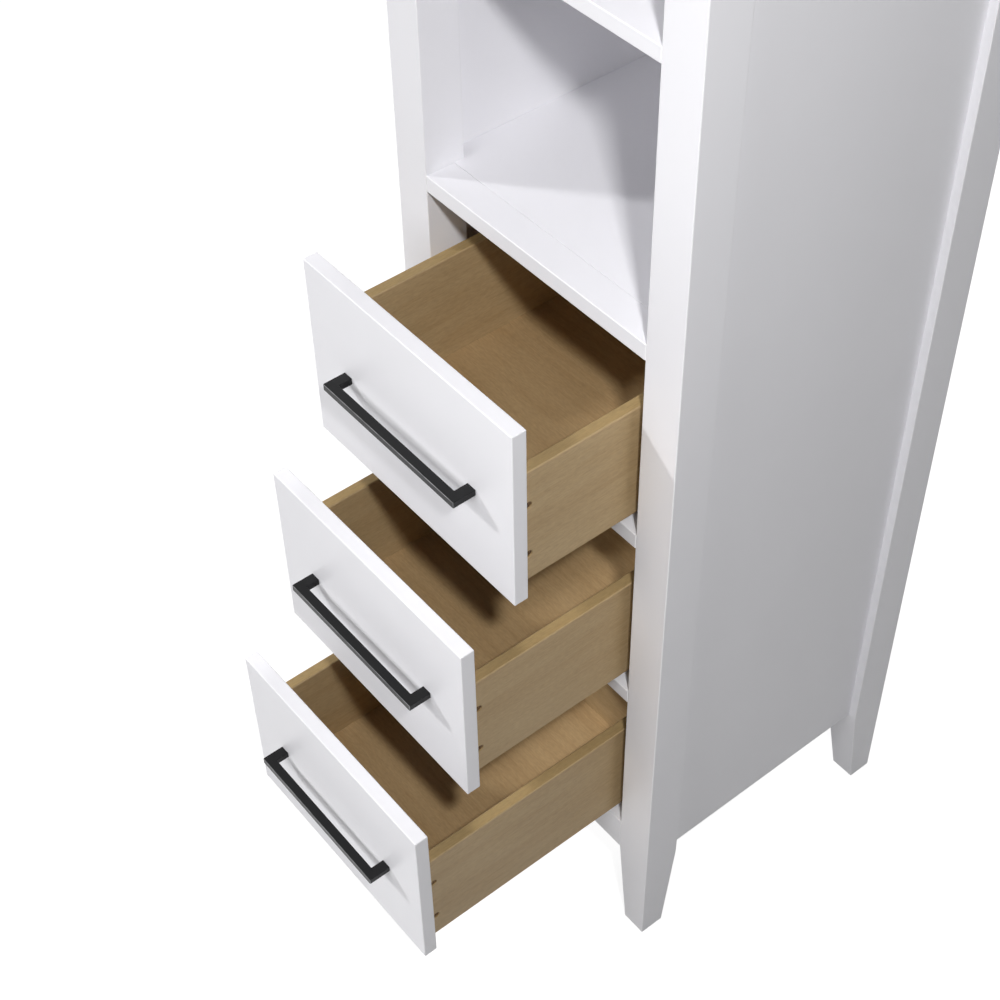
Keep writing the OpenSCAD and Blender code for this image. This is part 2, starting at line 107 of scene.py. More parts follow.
# Where the lamps hang, what they are turned to and how wide they are, in metres
KEY_DIRECTION = (0.66, 0.545, -0.515)
FLASH_PLACE, FLASH_TARGET, FLASH_SIZE = (1.30, -0.814, 2.524), (0.0, -0.2, -0.3), 0.13
FRONT_PLACE, FRONT_TARGET, FRONT_SIZE = (0.25, -2.5, 1.95), (0.0, -0.6, -0.6), 1.2
REAR_PLACE, REAR_TARGET, REAR_SIZE = (-1.4, 2.3, 2.2), (0.0, 0.1, 0.9), 1.2
FLOOR_POINTS = 9

# The camera's sensor in millimetres, and how far it sees in metres
SENSOR_WIDTH = 36.0
SIGHT = 60.0


# ---------------------------------------------------------------- settings

def length(name, description, default):
    """A size in metres that the panel shows in the scene's units."""
    return bpy.props.FloatProperty(name=name, description=description, default=default,
                                   unit="LENGTH", precision=5, min=0)


def share(name, description, default):
    """A plain number from 0 to 1."""
    return bpy.props.FloatProperty(name=name, description=description, default=default,
                                   subtype="FACTOR", min=0, max=1)


def watts(name, description, default):
    """Power of a lamp."""
    return bpy.props.FloatProperty(name=name, description=description, default=default, unit="POWER", min=0)


def colour(name, description, default):
    """A colour in scene-linear light."""
    return bpy.props.FloatVectorProperty(name=name, description=description, default=default,
                                         subtype="COLOR", size=3, min=0, max=1)


def degrees(name, description, default):
    """An angle, given in degrees."""
    return bpy.props.FloatProperty(name=name, description=description, default=math.radians(default),
                                   subtype="ANGLE")


def offset(name, description, default):
    """A shift in metres that may go either way."""
    return bpy.props.FloatProperty(name=name, description=description, default=default,
                                   unit="LENGTH", precision=5)


class TowerShapes(bpy.types.PropertyGroup):
    """Sizes of the rounded edges and small forms."""
    paint_edge: length("Painted edge", "Radius of the eased edges of painted boards", 0.0013)
    shelf_edge: length("Shelf edge", "Radius of the eased edges of the rails and shelves", 0.0011)
    foot_width: length("Foot", "Width of a post's foot at the floor", 0.037)
    leg_bend: length("Leg bend", "Height over which the taper of a leg turns into the post", 0.0016)
    handle_edge: length("Handle edge", "Radius of the long edges of the handle bars", 0.0009)
    handle_corner: length("Handle corner", "Radius of the corners of the handle bars", 0.0016)
    handle_bar: length("Handle bar", "Depth of the handle bar, front to back", 0.0125)
    handle_leg: length("Handle leg", "Width of a handle leg", 0.014)
    handle_pitch: length("Handle pitch", "Distance between the handle legs, centre to centre", 0.224)
    screw_head: length("Screw head", "Diameter of a countersunk screw head", 0.0095)
    pan_head: length("Pan head", "Diameter of a handle screw's head", 0.0085)
    pan_dome: length("Pan dome", "Height of a handle screw's head", 0.0026)
    pan_bite: length("Handle screw bite", "Depth of a handle screw inside the handle's leg", 0.009)
    corner_screw_length: length("Corner screw length", "Length of the box's corner screws", 0.032)
    front_screw_length: length("Front screw length", "Length of the screws into the drawer front", 0.026)
    screw_shank: length("Screw shank", "Diameter of a screw's shank", 0.004)
    screw_pitch: length("Screw thread", "Pitch of the screw thread", 0.002)
    screw_sink: length("Screw sink", "Depth of a screw head below the face of the wood", 0.0015)
    corner_screw_in: length("Corner screws", "Distance of the corner screws from the ends of a box side",
                            0.010)
    corner_screw_rise: length("Lower screw", "Height of the lower corner screw above the box's edge",
                              0.041)
    corner_screw_step: length("Screw step", "Distance between the screws up a box corner", 0.076)
    front_screw_out: length("Front screws", "Distance of the front's screws from the middle", 0.060)


class TowerFinishes(bpy.types.PropertyGroup):
    """Colours and gloss of the finishes."""
    paint: colour("Paint", "Satin white lacquer", (0.870, 0.864, 0.896))
    paint_thin: colour("Thin paint", "Lacquer where it thins over an edge", (0.90, 0.89, 0.90))
    paint_roughness: share("Paint roughness", "Roughness of the lacquer", 0.42)
    maple: colour("Maple", "Pale early wood of the drawer boxes", (0.50, 0.366, 0.203))
    maple_ring: colour("Maple ring", "Darker rings and fibres of the maple", (0.375, 0.25, 0.12))
    sawn_edge: colour("Sawn edge", "Tint of the sawn edges of the drawer boards", (0.85, 0.83, 0.72))
    veneer: colour("Veneer", "Pale part of the drawer bottoms' veneer", (0.50, 0.35, 0.185))
    veneer_ring: colour("Veneer ring", "Darker figure of the veneer", (0.35, 0.22, 0.10))
    softwood: colour("Softwood", "Pale part of the slide cleats", (0.62, 0.48, 0.30))
    softwood_ring: colour("Softwood ring", "Darker rings of the slide cleats", (0.42, 0.27, 0.13))
    black: colour("Black", "Powder coat of the handles", (0.004, 0.004, 0.0045))
    # The handles' light edge colour is a painted highlight: it stands in for the lamps' highlight on the
    # eased front edges
    black_worn: colour("Black edge highlight", "Powder coat along the handles' edges", (0.30, 0.30, 0.31))
    black_roughness: share("Black roughness", "Roughness of the powder coat", 0.36)
    zinc: colour("Zinc", "Zinc plating of the slides", (0.60, 0.61, 0.63))
    bronze: colour("Bronze", "Plating of the drawer screws", (0.12, 0.075, 0.04))


class TowerStudio(bpy.types.PropertyGroup):
    """The floor, the lamps and the camera."""
    floor_size: length("Floor", "Width of the floor", 14.0)
    floor_tone: share("Floor tone", "Brightness of the light that the floor throws back", 0.33)
    floor_glow: share("Floor glow", "Light that whitens the floor where it is looked at", 0.86)
    room: share("Room light", "Even light from all round", 0.04)
    key: bpy.props.FloatProperty(name="Key", description="Strength of the key lamp", default=1.25)
    key_softness: degrees("Key softness", "Angle that the key lamp covers", 5)
    flash: watts("Flash", "Power of the small lamp at the upper right", 31.5)
    front: watts("Front lamp", "Power of the soft lamp in front", 29.0)
    rear: watts("Rear lamp", "Power of the soft lamp behind the tower", 40.0)
    lens: bpy.props.FloatProperty(name="Lens", description="Focal length for a 36 mm sensor, in mm",
                                  default=66.645)
    turn: degrees("Turn", "Angle of the camera round the tower", 52.379)
    rise: degrees("Rise", "Angle of the camera above level", 46.533)
    roll: degrees("Roll", "Tilt of the camera about its line of sight", -1.4775)
    aim_height: length("Aim height", "Height of the point that the camera turns about", 0.454)
    distance: length("Distance", "Distance from that point to the camera's plane", 2.4308)
    pan: offset("Pan", "Shift of the camera to its right", -0.03912)
    lift: offset("Lift", "Shift of the camera upwards", 0.16898)


# ---------------------------------------------------------------- surfaces

def rounded_outline(corners, radii):
    """Closed outline whose corners are arcs.

    At a corner the outward normal n turns from the normal of the edge before it to that of the edge
    after it. The arc's centre is the corner less radius times the mitre of the two normals, and its
    points are centre + radius * n. The radius counts as negative at an inner corner. Returns the points,
    their normals, and sin(pi t), which is 0 at both ends of an arc and 1 in its middle.
    """
    points = np.asarray(corners, float)
    after = np.roll(points, -1, 0)
    if np.sum(points[:, 0] * after[:, 1] - after[:, 0] * points[:, 1]) < 0:
        points = points[::-1]
    ahead = np.roll(points, -1, 0) - points
    ahead /= np.linalg.norm(ahead, axis=1, keepdims=True)
    behind = np.roll(ahead, 1, 0)
    normal_in = np.stack([behind[:, 1], -behind[:, 0]], -1)
    normal_out = np.stack([ahead[:, 1], -ahead[:, 0]], -1)
    cross = behind[:, 0] * ahead[:, 1] - behind[:, 1] * ahead[:, 0]
    turn = np.arctan2(cross, np.sum(behind * ahead, 1))
    radius = np.broadcast_to(radii, turn.shape) * np.sign(turn)
    mitre = (normal_in + normal_out) / (1 + np.sum(normal_in * normal_out, 1, keepdims=True))
    t = np.linspace(0, 1, EDGE_STEPS + 1)
    angle = np.arctan2(normal_in[:, 1], normal_in[:, 0])[:, None] + turn[:, None] * t
    normals = np.stack([np.cos(angle), np.sin(angle)], -1)
    arcs = (points - radius[:, None] * mitre)[:, None] + radius[:, None, None] * normals
    bend = np.tile(np.sin(np.pi * t), len(points))
    return arcs.reshape(-1, 2), normals.reshape(-1, 2), bend


def rim_stations(low, high, rim):
    """Stations of a bar whose two end rims are quarter circles.

    At angle q of a rim the station lies rim * (1 - cos q) in from the end and the outline is moved in
    by rim * (1 - sin q); its normal has cos q along the bar and sin q across it. Returns the heights,
    the insets, and the normals' shares along and across the bar.
    """
    q = np.linspace(0, math.pi / 2, EDGE_STEPS + 1)
    back = q[::-1]
    heights = np.concatenate([low + rim * (1 - np.cos(q)), high - rim * (1 - np.cos(back))])
    insets = rim * (1 - np.sin(np.concatenate([q, back])))
    along = np.concatenate([-np.cos(q), np.cos(back)])
    across = np.sin(np.concatenate([q, back]))
    return heights, insets, along, across


def tube_object(name, points, normals, edge):
    """Object from a grid of points (stations by columns) that closes round its columns.

    The first and the last station are closed by strips of faces between column i and column n - 1 - i.
    The points' own normals and an edge mask go with it.
    """
    stations, columns = points.shape[:2]
    index = np.arange(stations * columns).reshape(stations, columns)
    beside = np.roll(index, -1, 1)
    sides = np.stack([index[:-1], beside[:-1], beside[1:], index[1:]], -1).reshape(-1, 4)
    i = np.arange(columns // 2 - 1)
    strip = np.stack([i, i + 1, columns - 2 - i, columns - 1 - i], -1)
    quads = np.concatenate([sides, index[0][strip[:, ::-1]], index[-1][strip]])
    mesh = bpy.data.meshes.new(name)
    mesh.from_pydata(points.reshape(-1, 3), [], quads.tolist())
    mesh.shade_smooth()
    mask = mesh.attributes.new("edge", "FLOAT", "POINT")
    mask.data.foreach_set("value", edge.astype(np.float32).ravel())
    mesh.normals_split_custom_set_from_vertices(normals.reshape(-1, 3))
    made = bpy.data.objects.new(name, mesh)
    bpy.context.scene.collection.objects.link(made)
    return made


def plate(name, corners, axis, low, high, rim, radii=None):
    """Board with the given outline, carried along one axis from low to high, with rounded rims.

    The outline lies in the plane of the two axes that follow the given one, as rounded_outline
    gives it, and rim_stations moves it in at both ends.
    """
    outline, outward, bend = rounded_outline(corners, rim if radii is None else radii)
    heights, insets, along, across = rim_stations(low, high, rim)
    points = np.empty((len(heights), len(outline), 3))
    normals = np.empty_like(points)
    plane = [(axis + 1) % 3, (axis + 2) % 3]
    points[..., plane] = outline - insets[:, None, None] * outward
    points[..., axis] = heights[:, None]
    normals[..., plane] = across[:, None, None] * outward
    normals[..., axis] = along[:, None]
    edge = np.maximum(2 * np.abs(along * across)[:, None], np.square(across)[:, None] * bend)
    return tube_object(name, points, normals, edge)


def plain_board(name, node, axis, rim):
    """Rectangular board in the place of a node, carried along the given axis."""
    low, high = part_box(node)
    u, v = (axis + 1) % 3, (axis + 2) % 3
    corners = [(low[u], low[v]), (high[u], low[v]), (high[u], high[v]), (low[u], high[v])]
    return plate(name, corners, axis, low[axis], high[axis], rim)


def tapered_post(name, node, side, end, shapes):
    """Square post whose two inner faces taper to the foot.

    The outline is a square of width w(z) = foot + (post - foot) * min(z / leg, 1) with its outer corner
    fixed, so a point on an inner face moves by w(z) - post. Its normal leans by minus the slope
    dw/dz where it moves. The foot has a rounded rim, and the taper turns over a short stretch.
    """
    low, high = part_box(node)
    width = high.x - low.x
    slope = (width - shapes.foot_width) / LEG_TOP
    radius = shapes.paint_edge
    corners = [(0, 0), (width, 0), (width, width), (0, width)]
    outline, outward, bend = rounded_outline(corners, radius)
    moves = np.clip(np.round(outline / width), 0, 1)
    q = np.linspace(0, math.pi / 2, EDGE_STEPS + 1)
    turn = shapes.leg_bend
    heights = np.concatenate([radius * (1 - np.cos(q)), [LEG_TOP - turn, LEG_TOP + turn, high.z]])
    insets = np.concatenate([radius * (1 - np.sin(q)), np.zeros(3)])
    along = np.concatenate([-np.cos(q), np.zeros(3)])
    slopes = np.concatenate([np.full(EDGE_STEPS + 2, slope), np.zeros(2)])
    narrowing = slope * np.minimum(heights - LEG_TOP, 0)
    points = np.empty((len(heights), len(outline), 3))
    points[..., :2] = outline - insets[:, None, None] * outward + narrowing[:, None, None] * moves
    points[..., 2] = heights[:, None]
    normals = np.empty_like(points)
    normals[..., :2] = np.sqrt(1 - along ** 2)[:, None, None] * outward
    normals[..., 2] = along[:, None] - slopes[:, None] * np.sum(outward * moves, 1)
    normals /= np.linalg.norm(normals, axis=2, keepdims=True)
    edge = np.maximum(2 * np.abs(along * np.sqrt(1 - along ** 2))[:, None],
                      (1 - along ** 2)[:, None] * bend)
    outer_x = low.x if side < 0 else high.x
    outer_y = low.y if end < 0 else high.y
    points = points * (-side, -end, 1) + (outer_x, outer_y, 0)
    normals = normals * (-side, -end, 1)
    if side * end < 0:
        points, normals, edge = points[:, ::-1], normals[:, ::-1], edge[:, ::-1]
    return tube_object(name, points, normals, edge)


def screw_profile(head, shank, pitch, length_below, dome):
    """Profile of a screw from the middle of its head down to its point, as radius and height.

    The head is a cap of height dome * sqrt(1 - (r / R)^2) over a cone or a flat underside, then comes the
    shank at an even step, and a short cone for the point.
    """
    top_r = np.sin(np.linspace(0, math.pi / 2, HEAD_RINGS)) * head / 2
    top_h = dome * np.sqrt(np.clip(1 - (2 * top_r / head) ** 2, 0, 1))
    under = 0 if dome else -(head - shank) / 2
    rings = RINGS_PER_TURN * round((length_below + under) / pitch)
    neck = np.linspace(under, THREAD_END - length_below, rings)
    radius = np.concatenate([top_r, np.full_like(neck, shank / 2), [shank * POINT_WIDTH, 0]])
    height = np.concatenate([top_h, neck, [POINT_LENGTH - length_below, -length_below]])
    return radius, height, np.concatenate([np.ones(HEAD_RINGS), np.zeros(len(neck) + 2)])


def screws(name, heads, shapes, head, length_below, dome=0.0):
    """One object of equal screws, each a profile turned about its own axis.

    heads holds a place and an outward direction (an axis and a sign) for each screw. The head's face is
    pressed in along a cross, |x| or |y| less than half a slot, and the shank's radius rises and falls
    with the phase angle / 2 pi + height / pitch, which is the thread.
    """
    radius, height, on_head = screw_profile(head, shapes.screw_shank, shapes.screw_pitch,
                                            length_below, dome)
    angle = np.linspace(0, 2 * math.pi, SCREW_COLUMNS, endpoint=False)
    phase = angle / (2 * math.pi) + height[:, None] / shapes.screw_pitch
    threaded = (on_head == 0) & (radius > THINNEST_THREADED)
    thread = np.abs(2 * (phase % 1) - 1) * THREAD_DEPTH * threaded[:, None]
    r = np.maximum(radius[:, None] - thread, 0)
    x, y = r * np.cos(angle), r * np.sin(angle)
    small, large = np.minimum(np.abs(x), np.abs(y)), np.maximum(np.abs(x), np.abs(y))
    inside = np.clip((SLOT_HALF_WIDTH - small) / SLOT_SIDE_BLEND, 0, 1)
    slot = inside * np.clip((head * SLOT_REACH - large) / SLOT_END_BLEND, 0, 1)
    h = height[:, None] - SLOT_DEPTH * slot * on_head[:, None]
    local = np.stack([x, y, np.broadcast_to(h, x.shape)], -1)
    rows, count = len(radius), len(heads)
    points = np.empty((count, rows, SCREW_COLUMNS, 3))
    for k, (place, axis, sign) in enumerate(heads):
        order = [(axis + 1) % 3, (axis + 2) % 3, axis]
        points[k][..., order] = local * (sign, 1, sign)
        points[k] += place
    index = np.arange(count * rows * SCREW_COLUMNS).reshape(count, rows, SCREW_COLUMNS)
    beside = np.roll(index, -1, 2)
    quads = np.stack([index[:, :-1], index[:, 1:], beside[:, 1:], beside[:, :-1]], -1)
    mesh = bpy.data.meshes.new(name)
    mesh.from_pydata(points.reshape(-1, 3), [], quads.reshape(-1, 4).tolist())
    weld(mesh)
    mesh.shade_smooth()
    mesh.set_sharp_from_angle(angle=SHARP_FROM)
    made = bpy.data.objects.new(name, mesh)
    bpy.context.scene.collection.objects.link(made)
    return made


def weld(mesh):
    """Merges the points that meet at the poles and turns every face outwards."""
    work = bmesh.new()
    work.from_mesh(mesh)
    bmesh.ops.remove_doubles(work, verts=work.verts, dist=WELD_DISTANCE)
    bmesh.ops.recalc_face_normals(work, faces=work.faces)
    work.to_mesh(mesh)
    work.free()


# ---------------------------------------------------------------- finishes

class Graph:
    """Adds nodes to a node tree. An input that is given a socket is linked, any other is set."""

    def __init__(self, tree):
        self.tree = tree

    def node(self, kind, inputs=None, out=0, **settings):
        """The output of a new node, or the node itself where out is None."""
        made = self.tree.nodes.new("ShaderNode" + kind)
        for key, value in settings.items():
            setattr(made, key, value)
        for key, value in (inputs or {}).items():
            if isinstance(value, bpy.types.NodeSocket):
                self.tree.links.new(value, made.inputs[key])
            else:
                made.inputs[key].default_value = value
        return made if out is None else made.outputs[out]

    def math(self, operation, a, b=0.0, clamp=False):
        return self.node("Math", {0: a, 1: b}, operation=operation, use_clamp=clamp)

    def scaled(self, vector, factors):
        return self.node("VectorMath", {0: vector, 1: factors}, operation="MULTIPLY")

    def noise(self, vector, detail, rough=0.5):
        return self.node("TexNoise", {"Vector": vector, "Scale": 1.0, "Detail": detail, "Roughness": rough})

    def mixed(self, factor, a, b):
        return self.node("Mix", {0: factor, 6: a, 7: b}, out=2, data_type="RGBA")

    def ramp(self, value, low, high, to_low=0.0, to_high=1.0):
        return self.node("MapRange", {0: value, 1: low, 2: high, 3: to_low, 4: to_high})

    def group(self, tree, inputs):
        return self.node("Group", inputs, None, node_tree=tree).outputs


def new_group(name, inputs, outputs):
    """Node group with named inputs, each with its default, and named outputs."""
    tree = bpy.data.node_groups.new(name, "ShaderNodeTree")
    kinds = {float: "NodeSocketFloat", tuple: "NodeSocketVector", list: "NodeSocketColor"}
    for label, default in inputs.items():
        socket = tree.interface.new_socket(label, in_out="INPUT", socket_type=kinds[type(default)])
        socket.default_value = default
    for label, kind in outputs.items():
        tree.interface.new_socket(label, in_out="OUTPUT", socket_type="NodeSocket" + kind)
    inlet = tree.nodes.new("NodeGroupInput").outputs
    outlet = tree.nodes.new("NodeGroupOutput").inputs
    return tree, Graph(tree), inlet, outlet


def wood_grain_group():
    """Sawn wood with its fibres along X.

    The rings are steps of distance from the log's axis, which leans a little, so that a broad face
    shows arches and a narrow one shows lines, and they fade here and there. Long thin noise makes
    the fibres, short noise the flecks, and slow noise the changes of tone. Where the face lies
    across the fibres the fibres turn into dark pores.
    """
    tree, g, given, made = new_group(
        "Wood grain",
        {"Position": (0.0, 0.0, 0.0), "Log Axis": (0.0, 0.0, 0.0), "Lean": 0.05, "Ring Width": 0.009,
         "Ring Share": 0.5, "Fibre Share": 0.5, "Across": 0.0, "Pale": [1, 1, 1, 1], "Dark": [0, 0, 0, 1]},
        {"Color": "Color", "Roughness": "Float", "Height": "Float"})
    place = g.node("VectorMath", {0: given["Position"], 1: given["Log Axis"]}, operation="SUBTRACT")
    split = g.node("SeparateXYZ", {0: place}, None).outputs
    slow = g.noise(g.scaled(place, (3.0, 16.0, 16.0)), 2.0)
    depth = g.math("ADD", split[2], g.math("MULTIPLY", split[0], given["Lean"]))
    flat = g.node("CombineXYZ", {0: 0.0, 1: split[1], 2: depth})
    radius = g.node("VectorMath", {0: flat}, 1, operation="LENGTH")
    phase = g.math("ADD", g.math("DIVIDE", radius, given["Ring Width"]), g.math("MULTIPLY", slow, 2.6))
    saw = g.math("FRACT", phase)
    late = g.math("MULTIPLY", g.math("POWER", saw, 2.2), g.ramp(saw, 1.0, 0.86))
    fibre = g.noise(g.scaled(place, (16.0, 620.0, 620.0)), 3.0, 0.6)
    pore = g.noise(g.scaled(place, (70.0, 1900.0, 1900.0)), 1.0)
    tone = g.noise(g.scaled(place, (5.0, 26.0, 26.0)), 2.0)
    faded = g.math("MULTIPLY", late, g.ramp(tone, 0.38, 0.62, 0.2, 1.0))
    ringed = g.math("MULTIPLY", faded, given["Ring Share"])
    streaks = g.math("MULTIPLY", g.ramp(fibre, 0.3, 0.7, -0.5, 0.5), given["Fibre Share"])
    drift = g.ramp(tone, 0.3, 0.7, 0.12, 0.42)
    factor = g.math("ADD", g.math("ADD", ringed, streaks), drift, clamp=True)
    grained = g.mixed(factor, given["Pale"], given["Dark"])
    end_grain = g.mixed(0.55, grained, g.mixed(given["Across"], given["Pale"], given["Dark"]))
    shaded = g.mixed(given["Across"], grained, end_grain)
    speck = g.ramp(pore, 0.62, 0.74, 1.0, 0.86)
    fleck = g.ramp(g.noise(g.scaled(place, (130.0, 430.0, 430.0)), 2.0), 0.3, 0.7, 0.92, 1.06)
    tree.links.new(g.scaled(shaded, g.math("MULTIPLY", speck, fleck)), made["Color"])
    tree.links.new(g.ramp(fibre, 0.2, 0.8, 0.40, 0.56), made["Roughness"])
    tree.links.new(g.math("ADD", fibre, g.math("MULTIPLY", pore, 0.5)), made["Height"])
    return tree


def sprayed_finish_group():
    """Sprayed coat: slow drift of tone and gloss, and a fine orange peel in the height."""
    tree, g, given, made = new_group(
        "Sprayed finish",
        {"Position": (0.0, 0.0, 0.0), "Peel Size": 0.002, "Drift": 0.01, "Roughness": 0.4},
        {"Tone": "Float", "Roughness": "Float", "Height": "Float"})
    peel_place = g.node("VectorMath", {0: given["Position"], 3: g.math("DIVIDE", 1.0, given["Peel Size"])},
                        operation="SCALE")
    peel = g.noise(peel_place, 2.0)
    slow = g.noise(g.scaled(given["Position"], (5.0, 5.0, 5.0)), 3.0)
    patch = g.noise(g.scaled(given["Position"], (38.0, 38.0, 38.0)), 2.0)
    low = g.math("SUBTRACT", 1.0, given["Drift"])
    high = g.math("ADD", 1.0, given["Drift"])
    tree.links.new(g.ramp(slow, 0.3, 0.7, low, high), made["Tone"])
    rough = g.math("ADD", given["Roughness"], g.ramp(patch, 0.3, 0.7, -0.035, 0.035))
    tree.links.new(rough, made["Roughness"])
    tree.links.new(peel, made["Height"])
    return tree


def edge_wear_group():
    """Mask of the thinly coated edges and of the painted highlight along the handles' edges: the piece's
    own edge attribute, broken up by noise.
    """
    tree, g, given, made = new_group(
        "Edge wear", {"Position": (0.0, 0.0, 0.0), "Amount": 0.5}, {"Mask": "Float"})
    edge = g.node("Attribute", None, 2, attribute_name="edge")
    patch = g.noise(g.scaled(given["Position"], (55.0, 55.0, 55.0)), 3.0)
    broken = g.math("MULTIPLY", edge, g.ramp(patch, 0.35, 0.6, 0.45, 1.0))
    tree.links.new(g.math("MULTIPLY", broken, given["Amount"], clamp=True), made["Mask"])
    return tree


def plated_steel_group():
    """Rolled and plated steel: fine draw lines along Y, and slow cloudy changes of colour."""
    tree, g, given, made = new_group(
        "Plated steel", {"Position": (0.0, 0.0, 0.0), "Plating": [1, 1, 1, 1]},
        {"Color": "Color", "Roughness": "Float", "Height": "Float"})
    lines = g.noise(g.scaled(given["Position"], (1500.0, 22.0, 1500.0)), 2.0)
    cloud = g.noise(g.scaled(given["Position"], (60.0, 40.0, 60.0)), 3.0)
    tone = g.math("MULTIPLY", g.ramp(lines, 0.2, 0.8, 0.93, 1.05), g.ramp(cloud, 0.3, 0.7, 0.92, 1.04))
    tree.links.new(g.scaled(given["Plating"], tone), made["Color"])
    tree.links.new(g.ramp(cloud, 0.3, 0.7, 0.30, 0.44), made["Roughness"])
    tree.links.new(lines, made["Height"])
    return tree


GROUP_MAKERS = {"Wood grain": wood_grain_group, "Sprayed finish": sprayed_finish_group,
                "Edge wear": edge_wear_group, "Plated steel": plated_steel_group}


def shared_group(name):
    """The node group of that name, made the first time that it is asked for."""
    found = bpy.data.node_groups.get(name)
    return found if found else GROUP_MAKERS[name]()


def start_material(name):
    """New material with its graph, its shader and the place in the object that it colours."""
    material = bpy.data.materials.new(name)
    material.use_nodes = True
    graph = Graph(material.node_tree)
    shader = material.node_tree.nodes["Principled BSDF"]
    coordinates = graph.node("TexCoord", None, None)
    return material, graph, shader, coordinates.outputs["Object"], coordinates.outputs["Normal"]


def rgba(settings_colour):
    """The colour with an alpha of 1."""
    return [*settings_colour, 1.0]


def finish_shader(graph, shader, base, roughness, height, relief):
    """Feeds a shader its colour and roughness, and its height as a bump of that relief in metres."""
    graph.tree.links.new(base, shader.inputs["Base Color"])
    graph.tree.links.new(roughness, shader.inputs["Roughness"])
    bump = graph.node("Bump", {"Height": height, "Strength": 1.0, "Distance": relief})
    graph.tree.links.new(bump, shader.inputs["Normal"])


def coated_material(name, base, worn, roughness, gloss, peel_size, relief, drift, wear, rubbed):
    """Sprayed lacquer or powder coat, with a second colour along the edges.

    On the powder coat of the handles only the edges that face the front have it: a painted highlight in
    place of the lamps' highlight on the eased edges. On the lacquer it is a lighter coat where the paint
    thins over the edges.
    """
    material, graph, shader, place, normal = start_material(name)
    coat = graph.group(shared_group("Sprayed finish"),
                       {"Position": place, "Peel Size": peel_size, "Drift": drift, "Roughness": roughness})
    edges = graph.group(shared_group("Edge wear"), {"Position": place, "Amount": wear})
    mask = edges["Mask"]
    if rubbed:
        # Painted highlight: the edge colour stays only where the surface faces the front
        front = graph.node("SeparateXYZ", {0: normal}, None).outputs[Y]
        mask = graph.math("MULTIPLY", mask, graph.ramp(front, -0.25, -0.5))
    toned = graph.scaled(graph.mixed(mask, rgba(base), rgba(worn)), coat["Tone"])
    finish_shader(graph, shader, toned, coat["Roughness"], coat["Height"], relief)
    shader.inputs["Specular IOR Level"].default_value = gloss
    return material


def wood_material(name, pale, dark, edge, grain_axis, log_axis, ring_width, lean, rings, fibres):
    """Clear-coated wood with its fibres along one axis and the middle of its log at a given place.

    edge tints the faces that look up or down, which on a board stood on edge is its sawn edge.
    """
    material, graph, shader, place, normal = start_material(name)
    order = {X: (0, 1, 2), Y: (1, 2, 0), Z: (2, 0, 1)}[grain_axis]
    split = graph.node("SeparateXYZ", {0: place}, None).outputs
    turned = graph.node("CombineXYZ", {0: split[order[0]], 1: split[order[1]], 2: split[order[2]]})
    facing = graph.node("SeparateXYZ", {0: normal}, None).outputs
    across = graph.ramp(graph.math("ABSOLUTE", facing[grain_axis]), 0.55, 0.85)
    sawn = graph.ramp(graph.math("ABSOLUTE", facing[Z]), 0.75, 0.95)
    grain = graph.group(shared_group("Wood grain"), {
        "Position": turned, "Log Axis": [log_axis[k] for k in order], "Lean": lean,
        "Ring Width": ring_width, "Ring Share": rings, "Fibre Share": fibres, "Across": across,
        "Pale": rgba(pale), "Dark": rgba(dark)})
    tinted = graph.scaled(grain["Color"], graph.mixed(sawn, (1, 1, 1, 1), rgba(edge)))
    finish_shader(graph, shader, tinted, grain["Roughness"], grain["Height"], WOOD_RELIEF)
    shader.inputs["Specular IOR Level"].default_value = 0.18
    shader.inputs["Coat Weight"].default_value = 0.03
    shader.inputs["Coat Roughness"].default_value = 0.35
    return material


def steel_material(name, plating):
    """Zinc or bronze plated steel."""
    material, graph, shader, place, _ = start_material(name)
    steel = graph.group(shared_group("Plated steel"), {"Position": place, "Plating": rgba(plating)})
    finish_shader(graph, shader, steel["Color"], steel["Roughness"], steel["Height"], STEEL_RELIEF)
    shader.inputs["Metallic"].default_value = 1.0
    return material


def shared_material(name, maker, **values):
    """The material of that name, made the first time that it is asked for."""
    found = bpy.data.materials.get(name)
    return found if found else maker(name, **values)


def paint(finishes):
    """Satin white lacquer of the carcass and the drawer fronts."""
    return shared_material("Satin white lacquer", coated_material, base=finishes.paint,
                           worn=finishes.paint_thin, roughness=finishes.paint_roughness, gloss=0.5,
                           peel_size=0.0016, relief=0.000012, drift=0.008, wear=0.7, rubbed=False)


def powder_coat(finishes):
    """Matt black coat of the handles."""
    # The light edge colour here is a painted highlight along the handles' front edges
    return shared_material("Black powder coat", coated_material, base=finishes.black,
                           worn=finishes.black_worn, roughness=finishes.black_roughness, gloss=0.25,
                           peel_size=0.0009, relief=0.00003, drift=0.12, wear=0.9, rubbed=True)


def maple(finishes, drawer, part, grain_axis, log_axis):
    """Maple of one board of a drawer box."""
    return shared_material(f"Maple {drawer} {part}", wood_material, pale=finishes.maple,
                           dark=finishes.maple_ring, edge=finishes.sawn_edge, grain_axis=grain_axis,
                           log_axis=log_axis, ring_width=0.016, lean=0.07, rings=0.22, fibres=0.26)


def veneer(finishes, drawer, log_axis):
    """Veneer of a drawer bottom, with its fibres from side to side."""
    return shared_material(f"Veneer {drawer}", wood_material, pale=finishes.veneer,
                           dark=finishes.veneer_ring, edge=NO_TINT, grain_axis=X, log_axis=log_axis,
                           ring_width=0.014, lean=-0.16, rings=0.27, fibres=0.28)


def softwood(finishes, drawer, log_axis):
    """Bare planed softwood of a drawer's two slide cleats."""
    return shared_material(f"Softwood {drawer}", wood_material, pale=finishes.softwood,
                           dark=finishes.softwood_ring, edge=NO_TINT, grain_axis=Y, log_axis=log_axis,
                           ring_width=0.006, lean=0.03, rings=0.6, fibres=0.3)


